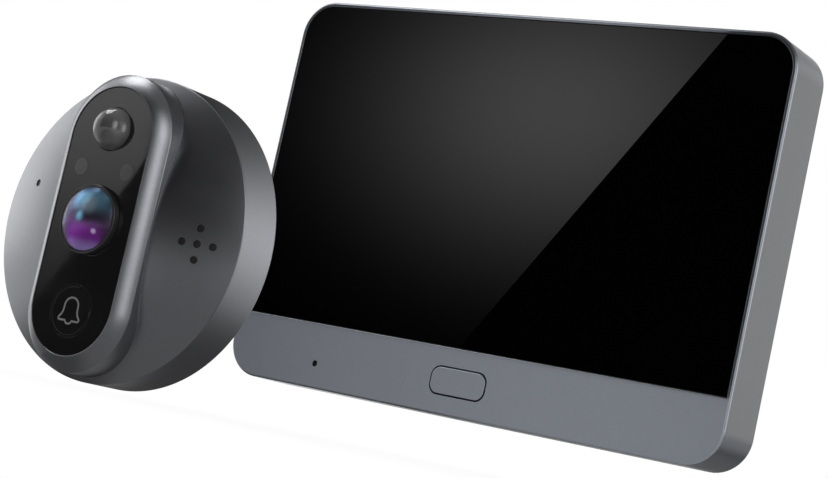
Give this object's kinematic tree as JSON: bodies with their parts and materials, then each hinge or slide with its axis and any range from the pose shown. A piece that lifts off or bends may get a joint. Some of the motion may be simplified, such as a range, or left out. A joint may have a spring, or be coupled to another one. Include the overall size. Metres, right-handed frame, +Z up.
{
  "type": "peephole door camera",
  "caption": "Round outdoor camera head with a bell button and raised sensor panel, and an indoor monitor that hangs on a hook bracket on the door.",
  "frame": {"origin": "centre of the bracket's two screw slots, on the bracket's door face", "axes": "+Z up, +Y into the door, +X to the right when the screen is looked at"},
  "size_m": [0.1379, 0.09, 0.0973],
  "materials": {
    "grey_paint": "satin metallic grey paint",
    "gloss_black": "gloss",
    "screen_black": "polished black cover glass",
    "lens_glass": "coated glass",
    "sensor_lens": "smoked gloss",
    "smoked_plastic": "smoked gloss",
    "light_guide": "frosted",
    "dark_plastic": "fine grain",
    "rear_plastic": "fine grain",
    "circuit_board": "solder mask",
    "plated_steel": "plated",
    "bracket_steel": "zinc plated sheet",
    "brass": "turned",
    "foam": "closed cell foam",
    "battery_wrap": "shrink wrap",
    "socket_plastic": "moulded"
  },
  "bodies": {
    "door_side": {"head_shell": "grey_paint", "head_window": "gloss_black", "camera_lens": "lens_glass", "lens_barrel": "dark_plastic", "sensor_board": "circuit_board", "pir_lens": "sensor_lens", "pir_sensor": "plated_steel", "ir_leds": "smoked_plastic", "bell_ring": "light_guide", "bell_switch": "dark_plastic", "head_board": "circuit_board", "head_speaker": "dark_plastic", "head_microphone": "plated_steel", "head_socket": "socket_plastic", "head_base": "dark_plastic", "door_posts": "brass", "head_screws": "plated_steel", "head_gasket": "foam", "hook_bracket": "bracket_steel"},
    "monitor": {"monitor_frame": "grey_paint", "screen_glass": "screen_black", "display_panel": "dark_plastic", "home_switch": "dark_plastic", "main_board": "circuit_board", "battery_pack": "battery_wrap", "monitor_speaker": "dark_plastic", "monitor_microphone": "plated_steel", "usb_socket": "plated_steel", "card_socket": "plated_steel", "power_switch": "plated_steel", "cable_socket": "socket_plastic", "rear_cover": "rear_plastic", "rear_screws": "plated_steel"},
    "bell_push": {"bell_button": "gloss_black", "bell_plunger": "dark_plastic"},
    "home_push": {"home_button": "grey_paint", "home_plunger": "dark_plastic"},
    "power_slider": {"power_knob": "dark_plastic"}
  },
  "joints": [
    {"name": "monitor_lift", "type": "slide", "parent": "door_side", "child": "monitor", "axis": [0, 0, 1], "range_m": [0, 0.005]},
    {"name": "bell_press", "type": "slide", "parent": "door_side", "child": "bell_push", "axis": [0, 1, 0], "range_m": [0, 0.0005], "stiffness_N_per_m": 800},
    {"name": "home_press", "type": "slide", "parent": "monitor", "child": "home_push", "axis": [0, 1, 0], "range_m": [0, 0.0005], "stiffness_N_per_m": 800},
    {"name": "power_slide", "type": "slide", "parent": "monitor", "child": "power_slider", "axis": [0, 0, 1], "range_m": [0, 0.002]}
  ]
}
